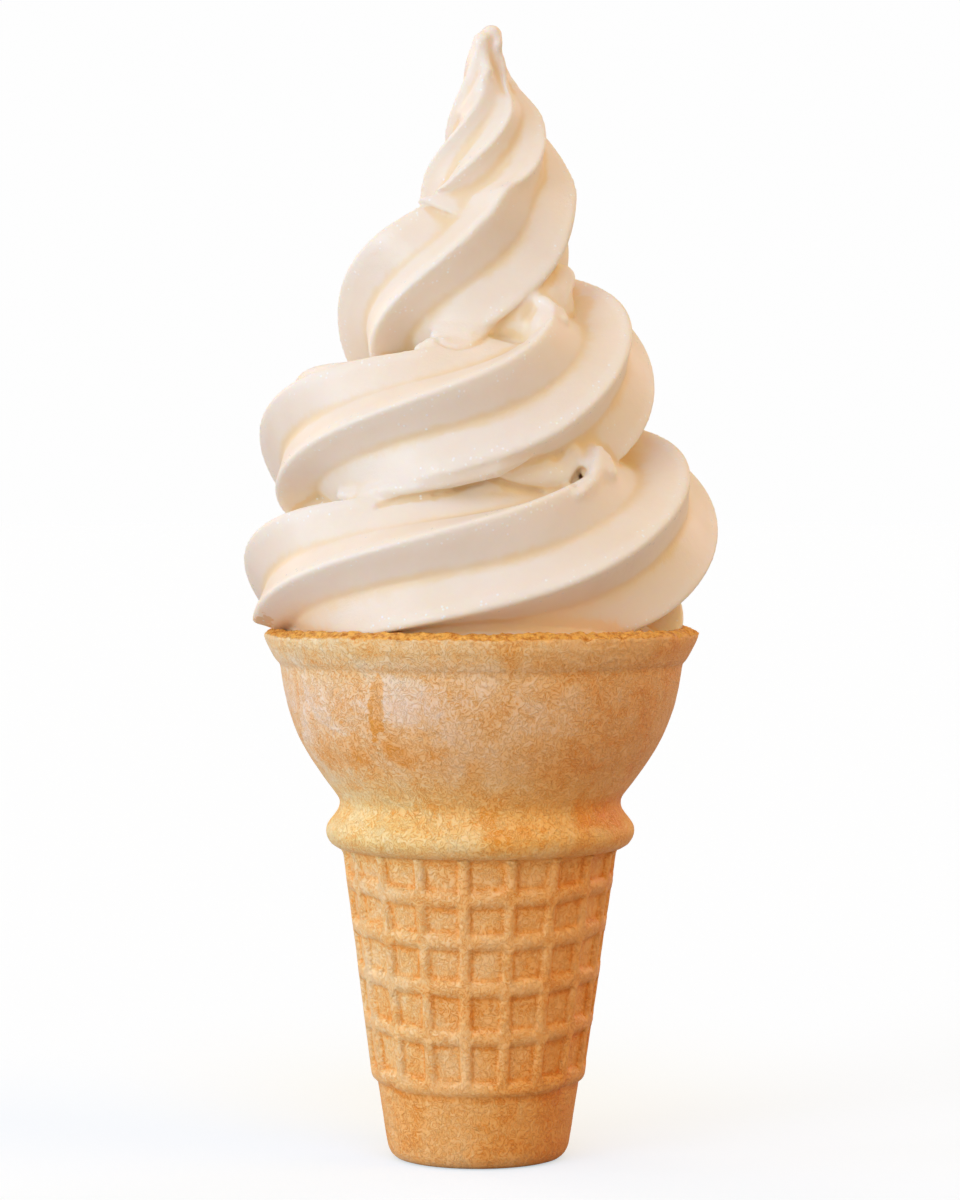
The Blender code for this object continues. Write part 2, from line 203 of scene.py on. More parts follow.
# Lumps where the soft rope sagged, folded or stuck to the turn below: how far each melts into what it
# touches, then its string of balls, each with its centre and radius.
SAGS = (
    # The low edge of the second turn's front, the turn below that rises to it, and a lobe between them.
    (0.6, ((-19.1, -12.6, 95.5, 1.1), (-17.3, -15.1, 95.4, 1.3), (-15.0, -17.4, 95.9, 1.3),
           (-12.5, -19.0, 96.3, 1.5), (-8.6, -20.5, 97.3, 1.6), (-5.0, -21.0, 98.0, 1.7),
           (-1.7, -21.2, 98.9, 1.8), (1.8, -21.2, 99.9, 2.0), (4.4, -20.6, 101.1, 1.8),
           (6.9, -19.9, 102.3, 1.5))),
    (0.5, ((-7.5, -18.9, 94.4, 1.6), (-5.1, -18.2, 95.0, 2.0), (-2.8, -17.4, 95.2, 2.4),
           (0.0, -16.6, 95.6, 2.6), (1.8, -16.1, 95.9, 2.5), (3.8, -15.9, 95.1, 2.4),
           (5.9, -15.4, 94.6, 2.0), (8.4, -14.9, 94.4, 1.6))),
    (0.3, ((3.2, -17.4, 99.1, 1.9), (5.9, -16.3, 98.9, 2.4), (8.6, -15.2, 98.8, 2.7),
           (11.2, -14.2, 98.5, 2.6), (12.4, -14.0, 101.1, 2.2))),
    # The hood of the first turn: its ridge, the slope behind it, and its inner wall.
    (1.0, ((16.4, -14.4, 101.4, 1.1), (16.5, -15.6, 100.3, 1.15), (16.3, -17.8, 98.9, 1.15),
           (15.3, -20.3, 97.3, 1.1), (13.9, -22.4, 96.0, 1.0), (12.3, -23.7, 95.2, 0.8),
           (10.5, -24.8, 94.8, 0.5))),
    (1.0, ((16.9, -14.2, 100.0, 1.7), (17.2, -15.9, 98.4, 2.0))),
    (1.0, ((15.3, -13.2, 101.0, 1.5), (15.2, -14.6, 99.9, 1.4), (15.2, -16.2, 98.9, 1.1))),
    # The droop of the third turn: its lower edge, the turn below that rises to it, and its upper row.
    (0.9, ((1.0, -10.8, 118.7, 0.8), (0.0, -11.1, 118.2, 1.0), (-1.4, -11.4, 117.7, 1.3),
           (-2.8, -11.5, 117.4, 1.4), (-4.2, -11.4, 117.5, 1.2), (-5.5, -11.0, 117.7, 0.9),
           (-6.6, -10.4, 117.8, 0.6))),
    (1.0, ((-8.3, -12.7, 115.7, 1.0), (-6.6, -12.9, 116.1, 1.5), (-5.1, -12.7, 116.2, 1.5),
           (-3.4, -12.6, 116.0, 1.2))),
    (1.0, ((0.0, -10.9, 119.2, 1.0), (-1.4, -10.5, 118.9, 1.4), (-3.1, -10.3, 118.7, 1.5),
           (-4.8, -9.9, 118.8, 1.2), (-6.2, -9.3, 118.8, 0.8))),
    # The hood of the second turn: its lip, two rounds inside it, and its outer face.
    (0.5, ((9.9, -13.6, 118.8, 0.8), (10.4, -12.7, 120.2, 0.9), (10.1, -11.7, 121.7, 0.9),
           (9.1, -11.0, 122.6, 0.85), (8.0, -10.5, 122.9, 0.7), (6.9, -10.1, 122.7, 0.4))),
    (1.0, ((9.3, -12.2, 118.7, 1.8), (9.3, -10.7, 120.3, 1.8), (9.0, -9.9, 121.6, 1.6),
           (8.0, -9.4, 122.4, 1.1))),
    (1.0, ((8.2, -9.8, 118.5, 2.2), (7.9, -8.7, 120.0, 2.2), (7.5, -8.4, 121.5, 2.0))),
    (1.0, ((10.8, -10.8, 120.8, 1.3), (11.2, -11.7, 119.6, 1.4))),
    # A small lobe on the right, under the third turn.
    (1.0, ((11.4, -3.8, 125.9, 2.2), (11.1, -5.7, 123.8, 1.8), (11.3, -7.2, 122.2, 1.0))),
    # The knob of the tip.
    (1.0, ((0.6, -1.2, 160.1, 1.55), (1.6, -1.2, 160.6, 1.55), (1.7, -1.5, 159.0, 1.5),
           (1.7, -1.8, 157.4, 1.3))),
)
# Rounder lumps: centre, then the three half sizes.
LOBES = (((5.5, -3.0, 121.5), (8.0, 8.0, 7.5)),)
BALL_SIDES = 24
BALL_ANGLES = np.linspace(-88, 88, 17)
# Distance between the balls of a string, as a share of the smaller radius.
BALL_SPACING = 0.35
# Strokes pressed into the front: points across and up, width, depth (below 0 raises).
STROKES = (
    # The tip: its flute, a ridge on each side of it, and the crest that ends abruptly on the left.
    (((1.55, 159.7), (1.65, 158.4), (2.0, 157.1), (2.9, 155.2), (3.8, 153.0)), 1.0, 0.7),
    (((2.7, 160.0), (3.0, 158.1), (3.9, 156.2), (5.3, 153.8)), 0.55, -0.25),
    (((0.8, 160.2), (0.7, 158.0), (1.1, 155.8)), 0.5, -0.25),
    (((1.1, 155.5), (0.4, 154.2), (-0.9, 152.1), (-2.6, 149.5)), 0.6, -0.45),
    # Between the first and second turns: the crack on the right, the crease on the left, and the hood's gap.
    (((1.8, 97.9), (3.5, 97.2), (5.6, 96.6), (7.2, 96.3), (8.8, 96.0)), 0.32, 0.6),
    (((-14.3, 94.0), (-13.0, 94.4), (-11.5, 94.9), (-8.6, 95.4), (-5.0, 96.1), (-2.5, 96.7), (0.0, 97.3)),
     0.35, 0.4),
    (((14.2, 99.1), (13.8, 98.3), (13.2, 97.4)), 0.45, 0.8),
    # The line under the droop, and the crease behind it.
    (((-5.8, 117.0), (-4.8, 116.4), (-3.1, 116.0), (-1.4, 116.3), (0.0, 116.9), (1.1, 117.7)), 0.3, 0.35),
    (((1.5, 118.0), (2.8, 117.7), (4.2, 117.3), (6.2, 117.0)), 0.35, 0.5),
)
# A stroke fades out where the surface turns away from the front: how far its normal faces forward.
STROKE_FACING = (-0.1, 0.5)
# Where the right flank of the tip draws in: height, half height, how far, and from where to where across.
TIP_WAIST = (154.2, 5.5, 1.0)
TIP_FLANK = (2.0, 5.5)
# How far out the ice cream may reach at each height: inside the wall, then free above the rim.
LIMIT_HEIGHTS = (50.0, 60.0, 66.0, 72.0, 76.2, 76.7, 77.4)
LIMIT_RADII = (18.0, 24.5, 26.8, 28.3, 28.7, 31.0, 40.0)
VOXEL = 0.38
# How far the remeshed skin may be moved to lie on the exact rope, and how hollow a crease is that stays off.
SNAP_REACH = 0.45
CREASE_LIFT = (0.02, 0.08)
# The skin is smoothed, and its creases filled, between these distances from the surface of a lump.
SMOOTHED_NEAR = (0.5, 2.5)
MELTED_NEAR = (0.4, 1.6)
MELT_SPEED = 0.9
MOST_TRIANGLES = 195000


def through_stations(values, turn):
    """The smooth curve (Catmull-Rom) through one value for each station, at the given turns."""
    padded = np.array([2 * values[0] - values[1], *values, 2 * values[-1] - values[-2]])
    place = (turn - FIRST_TURN) / TURN_STEP
    index = np.clip(np.floor(place).astype(int), 0, len(values) - 2)
    f = place - index
    a, b, c, d = (padded[index + k] for k in range(4))
    square = 2 * a - 5 * b + 4 * c - d
    cube = 3 * b - a - 3 * c + d
    return 0.5 * (2 * b + (c - a) * f + square * f**2 + cube * f**3)


def sway(amounts, turn):
    """What the sides of the sway add at the given turns."""
    fade = np.clip((SWAY_FADE[1] - turn) / (SWAY_FADE[1] - SWAY_FADE[0]), 0.0, 1.0)
    total = np.zeros(len(turn))
    for side, amount in zip(SWAY_SIDES, amounts):
        away = np.abs((360 * turn - side + 180) % 360 - 180)
        total += amount * np.cos(np.minimum(away / SWAY_REACH, 1.0) * math.pi / 2) ** 2
    return total * fade * fade * (3 - 2 * fade)


def coil_centre(turn):
    radius = through_stations(COIL_RADIUS, turn) + sway(RADIUS_SWAY, turn)
    height = through_stations(COIL_HEIGHT, turn) + sway(HEIGHT_SWAY, turn)
    across = radius * np.cos(2 * math.pi * turn) + through_stations(COIL_SHIFT, turn)
    back = radius * np.sin(2 * math.pi * turn) + through_stations(COIL_SETBACK, turn)
    return np.stack([across, back, height], axis=-1)


def unit(vectors):
    return vectors / np.linalg.norm(vectors, axis=-1, keepdims=True)


def rope_frames(turn):
    """Centre, direction and two cross directions of the rope, which lean over with it without twisting."""
    centre = coil_centre(turn)
    along = unit(coil_centre(turn + SMALL_TURN) - coil_centre(turn - SMALL_TURN))
    tip = np.stack([-along[:, 1], along[:, 0], np.zeros(len(turn))], axis=-1)
    lean = 1.0 / (1.0 + along[:, 2:3])
    axes = []
    for flat in (np.array([1.0, 0.0, 0.0]), np.array([0.0, 1.0, 0.0])):
        axes.append(flat * along[:, 2:3] + np.cross(tip, flat) + tip * (tip @ flat)[:, None] * lean)
    return centre, along, axes[0], axes[1]


def bend_of(turn):
    """Towards the centre of the coil's bend, 1 over its radius long."""
    before, here, after = (coil_centre(turn + k * SMALL_TURN) for k in (-1, 0, 1))
    lengths = np.linalg.norm(after - before, axis=-1, keepdims=True) / 2
    return (unit(after - here) - unit(here - before)) / lengths


def ridge_profile(steps):
    """Radius of the rope, as a share of its crest, at even angles over one ridge that starts at its crest."""
    share = np.abs((np.arange(steps) / steps * 2 + 1) % 2 - 1)
    half = math.pi / RIDGES
    rise = VALLEY * math.sin(half)
    run = 1 - VALLEY * math.cos(half)
    radius = rise / (rise * np.cos(half * share) + run * np.sin(half * share))
    blur = np.exp(-0.5 * ((np.arange(steps) - steps // 2) / steps * 360 / RIDGES / EDGE_BLUR) ** 2)
    blur = np.roll(blur / blur.sum(), -(steps // 2))
    radius = np.real(np.fft.ifft(np.fft.fft(radius) * np.fft.fft(blur)))
    return radius / radius[0]


def rope_rings():
    """The rope's rings of points, with the centre, direction and radius of each ring."""
    turn = np.linspace(START_TURN, END_TURN, round((END_TURN - START_TURN) * ROWS_PER_TURN) + 1)
    centre, along, across, upward = rope_frames(turn)
    radius = through_stations(ROPE_RADIUS, turn) + sway(ROPE_SWAY, turn)
    twist = np.radians(RIDGE_PHASE + through_stations(ROPE_TWIST, turn) + sway(TWIST_SWAY, turn))
    bend = bend_of(turn)
    profile = np.tile(ridge_profile(SIDES_PER_RIDGE), RIDGES)
    depth = 1 - (1 - RIDGE_FADE[2]) * smooth_step(turn, *RIDGE_FADE[:2])[:, None]
    rings = []
    for side, shape in enumerate(profile):
        swing = (twist + 2 * math.pi * side / len(profile))[:, None]
        way = np.cos(swing) * across + np.sin(swing) * upward
        rise = way[:, 2:3]
        size = radius[:, None] * (1 - (1 - shape) * depth) * (1 + 4 * SQUARENESS * rise**2 * (1 - rise**2))
        crowding = size[:, 0] * (way * bend).sum(axis=-1) / INNER_LIMIT
        rings.append(centre + size * way / np.maximum(crowding, 1.0)[:, None])
    return np.stack(rings, axis=1), centre, along, radius


def tube_faces(rows, sides):
    row = np.arange(rows - 1)[:, None] * sides
    side = np.arange(sides)[None, :]
    after = (side + 1) % sides
    corners = (row + side, row + after, row + sides + after, row + sides + side)
    return np.stack(corners, axis=-1).reshape(-1, 4)


def rope_shell():
    """The rope as one tube that passes through itself, in quads, with a tiny ring at each end."""
    rings, centre, along, radius = rope_rings()
    rows = [centre[0] + (rings[0] - centre[0]) * START_SIZE] + list(rings)
    for angle in END_CAP_ANGLES:
        swing = math.radians(angle)
        top = centre[-1] + along[-1] * radius[-1] * math.sin(swing)
        rows.append(top + (rings[-1] - centre[-1]) * math.cos(swing))
    return np.concatenate(rows), tube_faces(len(rows), rings.shape[1])


def turned_shell(profile, sides, setback):
    """A turned body from radius and height pairs; its ends are tiny rings."""
    angle = np.arange(sides) * 2 * math.pi / sides
    across, back = np.cos(angle), np.sin(angle)
    rows = [np.stack([r * across, r * back + setback, np.full(sides, z)], axis=1) for r, z in profile]
    return np.concatenate(rows), tube_faces(len(rows), sides)


def ball_shell(centre, size):
    """An ellipsoid, open only at its tiny poles."""
    profile = [(math.cos(swing), math.sin(swing)) for swing in np.radians(BALL_ANGLES)]
    points, quads = turned_shell(profile, BALL_SIDES, 0.0)
    return points * np.array(size) + np.array(centre), quads


def sag_shells(string):
    """Balls closely strung along a lump, which the remesh melts into one."""
    shells = []
    string = np.array(string)
    for first, second in zip(string, string[1:]):
        spacing = BALL_SPACING * min(first[3], second[3])
        steps = max(2, int(np.linalg.norm(second[:3] - first[:3]) / spacing))
        for share in np.linspace(0, 1, steps):
            x, y, z, size = first + (second - first) * share
            shells.append(ball_shell((x, y, z), (size, size, size)))
    return shells


def press(vertices, normals, path, width, depth):
    """Pushes the front in along a path, or out where the depth is below 0."""
    away = np.full(len(vertices), np.inf)
    flat = vertices[:, [0, 2]]
    path = np.array(path)
    for first, second in zip(path, path[1:]):
        along = second - first
        share = np.clip((flat - first) @ along / (along @ along), 0, 1)
        away = np.minimum(away, np.linalg.norm(flat - first - share[:, None] * along, axis=1))
    amount = depth * np.exp(-((away / width) ** 2)) * smooth_step(-normals[:, 1], *STROKE_FACING)
    return vertices - amount[:, None] * normals


def draw_in(vertices):
    """Draws in the right flank of the tip, just above where the turn below swells."""
    height, half, most = TIP_WAIST
    amount = most * np.cos(np.clip((vertices[:, 2] - height) / half, -1, 1) * math.pi / 2) ** 2
    moved = vertices.copy()
    moved[:, 0] -= amount * smooth_step(vertices[:, 0], *TIP_FLANK)
    return moved


def melt(vertices, faces, links, rounds, share):
    """Fills creases by the given share and leaves raised forms, so that lumps melt into what they touch."""
    for _ in range(rounds):
        normals = vertex_normals(vertices, faces)
        lift = lift_of(vertices, normals, links)
        vertices = vertices + (share * np.clip(lift, 0, None))[:, None] * normals
    return vertices


def inside_cup(vertices):
    """Draws in whatever would pass through the cup wall: below the rim the ice cream stays inside."""
    reach = np.hypot(vertices[:, 0], vertices[:, 1])
    limit = np.interp(vertices[:, 2], LIMIT_HEIGHTS, LIMIT_RADII)
    share = np.minimum(1.0, limit / np.maximum(reach, 1e-6))
    return vertices * np.stack([share, share, np.ones_like(share)], axis=1)


def join_shells(shells):
    vertices, faces, count = [], [], 0
    for points, quads in shells:
        vertices.append(points)
        faces.append(quads + count)
        count += len(points)
    return np.concatenate(vertices), np.concatenate(faces)


def cap_ends(part):
    """Fills the small open rings so that each shell is closed."""
    mesh = bmesh.new()
    mesh.from_mesh(part.data)
    rims = [e for e in mesh.edges if e.is_boundary]
    bmesh.ops.holes_fill(mesh, edges=rims, sides=0)
    mesh.to_mesh(part.data)
    mesh.free()


def remeshed_skin(rope, quads):
    """One even skin, in quads, round the rope, what fills its middle, and the lumps."""
    fill = turned_shell(FILL, FILL_SIDES, 0.0)
    core = turned_shell(CORE, CORE_SIDES, CORE_SETBACK)
    sags = [shell for _, string in SAGS for shell in sag_shells(string)]
    lobes = [ball_shell(*lobe) for lobe in LOBES]
    shell = new_object("swirl_shell", *join_shells([(rope, quads), fill, core, *sags, *lobes]))
    cap_ends(shell)
    step = shell.modifiers.new("remesh", "REMESH")
    step.mode = "VOXEL"
    step.voxel_size = VOXEL * MM
    vertices, faces = mesh_arrays(shell)
    bpy.data.objects.remove(shell)
    return vertices, faces


def onto_surface(vertices, tree, most):
    """Each vertex, or the nearest point of the exact surface where that is close."""
    moved = vertices.copy()
    for index, point in enumerate(vertices):
        place, _, _, distance = tree.find_nearest(point)
        if distance is not None and distance < most:
            moved[index] = place
    return moved


def without_steps(vertices, faces, links, rope, quads):
    """Takes out the voxels' steps: onto the exact rope where it is close, and by smoothing in the creases."""
    vertices = relax(vertices, links, 4)
    exact = BVHTree.FromPolygons(rope.tolist(), quads.tolist())
    nearest = onto_surface(vertices, exact, SNAP_REACH)
    lift = lift_of(vertices, vertex_normals(vertices, faces), links)
    crease = smooth_values(smooth_step(lift, *CREASE_LIFT), links, 3)
    vertices = vertices + (1 - crease)[:, None] * (nearest - vertices)
    return relax(vertices, links, 6, keep=1 - np.clip(crease * 1.5, 0, 1))


def melted_lumps(vertices, faces, links):
    """Smooths the skin near the lumps, then melts each lump into its surroundings by its own share."""
    balls = np.array([(*ball, melting) for melting, string in SAGS for ball in string])
    tree = KDTree(len(balls))
    for index, ball in enumerate(balls):
        tree.insert(ball[:3], index)
    tree.balance()
    found = [tree.find(point) for point in vertices]
    near = np.array([distance - balls[index, 3] for _, index, distance in found])
    melting = np.array([balls[index, 4] for _, index, _ in found])
    vertices = relax(vertices, links, 10, keep=smooth_step(near, *SMOOTHED_NEAR))
    return melt(vertices, faces, links, 20, MELT_SPEED * melting * (1 - smooth_step(near, *MELTED_NEAR)))


def fewer_triangles(vertices, faces):
    fine = new_object("swirl_fine", vertices, faces)
    step = fine.modifiers.new("fewer", "DECIMATE")
    step.ratio = min(1.0, MOST_TRIANGLES / (2 * len(faces)))
    step.use_collapse_triangulate = True
    vertices, faces = mesh_arrays(fine)
    bpy.data.objects.remove(fine)
    return vertices, faces


def soft_serve():
    rope, quads = rope_shell()
    rope = inside_cup(rope)
    vertices, faces = remeshed_skin(rope, quads)
    links = neighbours(faces, len(vertices))
    vertices = without_steps(vertices, faces, links, rope, quads)
    vertices = melted_lumps(vertices, faces, links)
    vertices = relax(draw_in(vertices), links, 1)
    for path, width, depth in STROKES:
        vertices = press(vertices, vertex_normals(vertices, faces), path, width, depth)
    vertices, faces = fewer_triangles(vertices, faces)
    made = new_object("swirl", vertices, faces)
    set_hollow(made, vertices, faces, 14, 60)
    return made


# ---------------------------------------------------------------- wafer cup

COLUMNS = 456
BAND_TOP = 10.7
STEM_TOP = 44.5
CUP_HEIGHT = 76.0
# The lattice: rings at these heights and evenly spaced ribs, and how far they stand out.
RELIEF = 0.75
RING_HEIGHTS = (12.5, 20.0, 27.1, 33.7, 39.9)
RING_HALF_WIDTH = 1.22
RIB_COUNT = 18
RIB_PHASE = -96.7
RIB_HALF_WIDTH = 0.84
RIB_SHARE = 0.85
# Up to the first of these angles from the front, and from the second on, the rings hang in a bow and a small
# jog below where they pass the sides.
SEAM_SIDES = (54.0, 126.0)
RING_BOW = 0.7
RING_JOG = 0.22
# The rim is a little higher at the front, and the cup leans from one side of the axis to the other.
FRONT_RISE = 0.45
LEAN_LOW = -0.3
LEAN_HIGH = 0.2
# Outside of the cup: radius and height, from the middle of the base to the lip.
STEM_PROFILE = ((0.3, 0.0), (6.0, 0.0), (11.0, 0.0), (11.9, 0.25), (12.6, 0.85), (13.0, 1.7), (13.15, 2.6),
                (14.4, 10.7))
COLLAR_PROFILE = ((18.9, 44.2), (19.3, 44.6), (20.5, 44.85), (21.4, 45.4), (22.0, 46.3), (22.2, 47.2),
                  (22.0, 48.1), (21.4, 48.9), (20.9, 49.5), (20.4, 50.2), (20.1, 50.9), (20.1, 51.6),
                  (20.5, 52.3), (21.0, 53.0))
BOWL_PROFILE = ((22.1, 54.4), (23.3, 56.1), (24.5, 57.9), (25.5, 59.6), (26.35, 61.3), (27.0, 63.0),
                (27.6, 64.7), (28.0, 66.4), (28.4, 68.2), (28.65, 69.9), (28.8, 70.9), (28.85, 71.3))
LIP_PROFILE = ((29.25, 71.55), (29.7, 72.2), (30.3, 73.3), (30.8, 74.3), (31.05, 75.0), (31.1, 75.35))
# The broken edge of the rim, and what shows of the inside.
TOP_PROFILE = ((30.9, 75.5), (30.5, 75.8), (30.1, 76.05), (29.6, 76.3), (29.1, 76.4), (28.9, 76.1))
INNER_PROFILE = ((28.75, 75.0), (28.6, 73.0), (26.9, 69.0), (26.0, 65.0), (24.0, 60.0), (0.3, 58.0))
OUTSIDE, RIM, INSIDE = 0, 1, 2
# Rows of the outside lie this far apart below each height; then the rows of the rim and of the inside.
ROW_STEPS = ((10.9, 0.55), (44.2, 0.33), (53.0, 0.5), (71.0, 0.6), (90.0, 0.35))
RIM_STEP = 0.22
INSIDE_STEP = 3.0
# The rim crumbles between these heights, and the crust shows above the next two.
CRUMBLE_FROM = (74.4, 75.2)
CRUST_FROM = (75.4, 75.6)


def bead(away, half):
    """A round bead over a flat ground: 1 along its top, 0 from its half width on."""
    return np.sqrt(np.clip(1 - (away / half) ** 2, 0, 1))


def profile_rows():
    """Radius, height and part (OUTSIDE, RIM or INSIDE) of each row, about evenly spaced."""
    outside = STEM_PROFILE + COLLAR_PROFILE + BOWL_PROFILE + LIP_PROFILE
    curves = (outside, LIP_PROFILE[-1:] + TOP_PROFILE, TOP_PROFILE[-1:] + INNER_PROFILE)
    rows = []
    for number, points in enumerate(curves):
        points = np.array(points)
        length = np.concatenate([[0], np.cumsum(np.linalg.norm(np.diff(points, axis=0), axis=1))])
        fine = np.linspace(0, length[-1], 4000)
        if number == OUTSIDE:
            levels = np.interp(fine, length, points[:, 1])
            step = np.array([next(size for top, size in ROW_STEPS if level <= top) for level in levels])
        else:
            step = np.full(len(fine), RIM_STEP if number == RIM else INSIDE_STEP)
        count = np.concatenate([[0], np.cumsum(np.diff(fine) / step[1:])])
        places = np.interp(np.linspace(0, count[-1], int(count[-1]) + 2), count, fine)
        radius, height = (np.interp(places, length, points[:, k]) for k in range(2))
        if number == OUTSIDE:
            for _ in range(2):
                radius[1:-1] = (radius[:-2] + 2 * radius[1:-1] + radius[2:]) / 4
        first = 0 if number == OUTSIDE else 1
        rows += [(r, z, number) for r, z in zip(radius, height)][first:]
    return np.array(rows)


def ring_drop(front):
    """How far a ring hangs below its silhouette height, by the angle from the front in degrees."""
    side = np.abs(front)
    back = 180 - side
    drop = RING_BOW * np.clip(1 - (side / SEAM_SIDES[0]) ** 2, 0, 1) + RING_JOG * (side < SEAM_SIDES[0])
    drop = drop + RING_BOW * np.clip(1 - (back / (180 - SEAM_SIDES[1])) ** 2, 0, 1)
    return drop + RING_JOG * (side > SEAM_SIDES[1])


def lattice_relief(radius, height, angle, front, wander, fine):
    """How far the ribs and rings stand out of the stem; where they cross, they merge."""
    rib_side = (np.degrees(angle) - RIB_PHASE + 180 / RIB_COUNT) % (360 / RIB_COUNT) - 180 / RIB_COUNT
    away = np.abs(np.radians(rib_side)[None, :] * radius + 0.22 * wander)
    rib = bead(away + 0.06 * fine, RIB_HALF_WIDTH)
    rib *= smooth_step(height, RING_HEIGHTS[0] - 0.5, RING_HEIGHTS[0] + 0.5)
    drop = ring_drop(front)[None, :] + 0.2 * wander
    ring = np.zeros(radius.shape)
    for middle in RING_HEIGHTS:
        ring = np.maximum(ring, bead(np.abs(height + drop - middle) + 0.1 * fine, RING_HALF_WIDTH))
    return RELIEF * np.maximum(np.maximum(rib * RIB_SHARE, ring), np.minimum(rib + ring, 1.0))


def ragged_rim(radius, height, kind, front, flat):
    """Radius and height with the rim broken, chipped and crumbly, and higher at the front."""
    shape = radius.shape
    upright = flat * (1, 1, 0.3)
    ragged = noise_at(upright, 1.5, 8).reshape(shape)
    grain = noise_at(flat, 0.7, 9).reshape(shape)
    chip = np.clip(noise_at(flat * (1, 1, 0), 4.0, 12).reshape(shape) - 0.25, 0, 1)
    crumb = np.abs(noise_at(flat, 1.1, 15).reshape(shape)) * (kind > OUTSIDE)
    near = smooth_step(height, *CRUMBLE_FROM) * (kind < INSIDE)
    height = height + near * (0.2 * ragged + 0.16 * grain - 0.6 * chip - 0.4 * crumb + 0.05)
    height = height + FRONT_RISE * near * smooth_step(np.cos(np.radians(front)), 0.2, 1.0)[None, :]
    radius = radius + near * (0.20 * grain + 0.15 * ragged - 0.4 * chip * (kind == OUTSIDE))
    return radius, np.maximum(height, 0.0)


def wafer_cup():
    rows = profile_rows()
    angle = np.arange(COLUMNS) * 2 * math.pi / COLUMNS
    front = (np.degrees(angle) + 90 + 180) % 360 - 180
    radius, height, kind = (np.repeat(rows[:, k : k + 1], COLUMNS, axis=1) for k in range(3))
    flat = np.stack([radius * np.cos(angle), radius * np.sin(angle), height], axis=-1).reshape(-1, 3)
    wander = noise_at(flat, 6.0, 3).reshape(radius.shape)
    fine = noise_at(flat, 1.6, 5).reshape(radius.shape)
    broad = noise_at(flat, 14.0, 1).reshape(radius.shape)

    stem = (height > BAND_TOP + 0.1) & (height < STEM_TOP) & (kind == OUTSIDE)
    radius = radius + np.where(stem, lattice_relief(radius, height, angle, front, wander, fine), 0.0)
    uneven = 0.10 * broad + 0.05 * wander + 0.035 * fine
    radius = radius + uneven * (kind < INSIDE) * smooth_step(height, 0.0, 1.5)
    crust = (kind == RIM) * smooth_step(height, *CRUST_FROM)
    radius, height = ragged_rim(radius, height, kind, front, flat)

    lean = LEAN_LOW + (LEAN_HIGH - LEAN_LOW) * height / CUP_HEIGHT
    points = np.stack([radius * np.cos(angle) + lean, radius * np.sin(angle), height], axis=-1).reshape(-1, 3)
    faces = tube_faces(len(rows), COLUMNS)
    made = new_object("wafer", points, faces)
    cap_ends(made)
    made.data.shade_smooth()
    set_attribute(made, "edge", crust.ravel())
    set_hollow(made, points, faces, 3, 40)
    return made


# ---------------------------------------------------------------- materials

# Colours of the ice cream: two plain tones, painted shade in the creases, a painted highlight on the crests,
# painted warm shade and reflected light low by the wafer, a drop of syrup, and painted glints on the frost.
CREAM = ((0.885, 0.795, 0.70, 1), (0.91, 0.83, 0.745, 1))
CREASE_SHADE_COLOUR = (0.88, 0.72, 0.50, 1)
CREST_HIGHLIGHT_COLOUR = (0.90, 0.855, 0.80, 1)
LOW_WARM_SHADE_COLOUR = (0.94, 0.70, 0.46, 1)
SYRUP_COLOUR = (0.78, 0.50, 0.22, 1)
GLINT_COLOUR = (1.0, 1.0, 1.0, 1)
# The drop of syrup: across, up, and its half sizes, in millimetres.
SYRUP = (-31.0, 77.4, 1.7, 1.1)
# Colour of the wafer by height in millimetres.
BAKED = (
    (0.0, (0.90, 0.44, 0.115)),
    (10.0, (0.92, 0.47, 0.13)),
    (16.0, (0.98, 0.53, 0.175)),
    (42.0, (0.98, 0.545, 0.19)),
    (47.0, (1.0, 0.62, 0.215)),
    (52.0, (1.0, 0.63, 0.235)),
    (58.0, (0.95, 0.56, 0.225)),
    (67.0, (0.94, 0.615, 0.325)),
    (74.0, (1.0, 0.615, 0.255)),
)
BAKED_TOP = 80.0
# What multiplies it, from the cup's left side (-1) over the front and the back to its right side (1): painted
# light and shade, paler and cooler on the left where the light falls, darker and more orange on the right in
# shade.
SIDE_LIGHT_AND_SHADE = (
    (-0.9, (1.08, 1.13, 1.38)),
    (-0.6, (1.06, 1.05, 1.12)),
    (-0.2, (1.02, 0.98, 0.98)),
    (0.1, (1.0, 0.93, 0.84)),
    (0.4, (0.97, 0.85, 0.68)),
    (0.8, (0.90, 0.71, 0.46)),
)
# Patches on the front of the wafer: across, up, half sizes, and how much deeper (paler, below 0) the bake is.
PATCHES = (
    (-14.4, 65.9, 1.15, 4.7, 0.6),
    (-9.5, 61.0, 5.0, 2.8, 0.3),
    (-18.5, 60.0, 4.5, 2.6, 0.28),
    (-10.0, 67.0, 8.0, 3.4, -0.16),
    (5.0, 47.5, 5.0, 2.0, 0.32),
    (-3.5, 52.5, 4.0, 2.2, 0.18),
    (18.0, 51.0, 4.5, 2.5, 0.3),
)
# How the bake shades each colour, divided by the gain: palest, plain, and deepest.
BAKE_GAIN = 2.5
BAKE_FACTORS = ((0.0, (0.415, 0.50, 0.74)), (0.45, (0.405, 0.41, 0.41)), (1.0, (0.375, 0.26, 0.09)))
CRUST = ((0.62, 0.21, 0.02, 1), (0.98, 0.52, 0.11, 1))
PIT_COLOUR = (0.70, 0.30, 0.06, 1)


def add_node(tree, kind, settings=None, **inputs):
    """Adds a shader node; an input, by name or as i0 and so on, is a number, a colour or another socket."""
    made = tree.nodes.new("ShaderNode" + kind)
    for name, value in (settings or {}).items():
        setattr(made, name, value)
    for name, value in inputs.items():
        key = int(name[1:]) if name[0] == "i" and name[1:].isdigit() else name.replace("_", " ")
        if isinstance(value, bpy.types.NodeSocket):
            tree.links.new(value, made.inputs[key])
        else:
            made.inputs[key].default_value = value
    return made


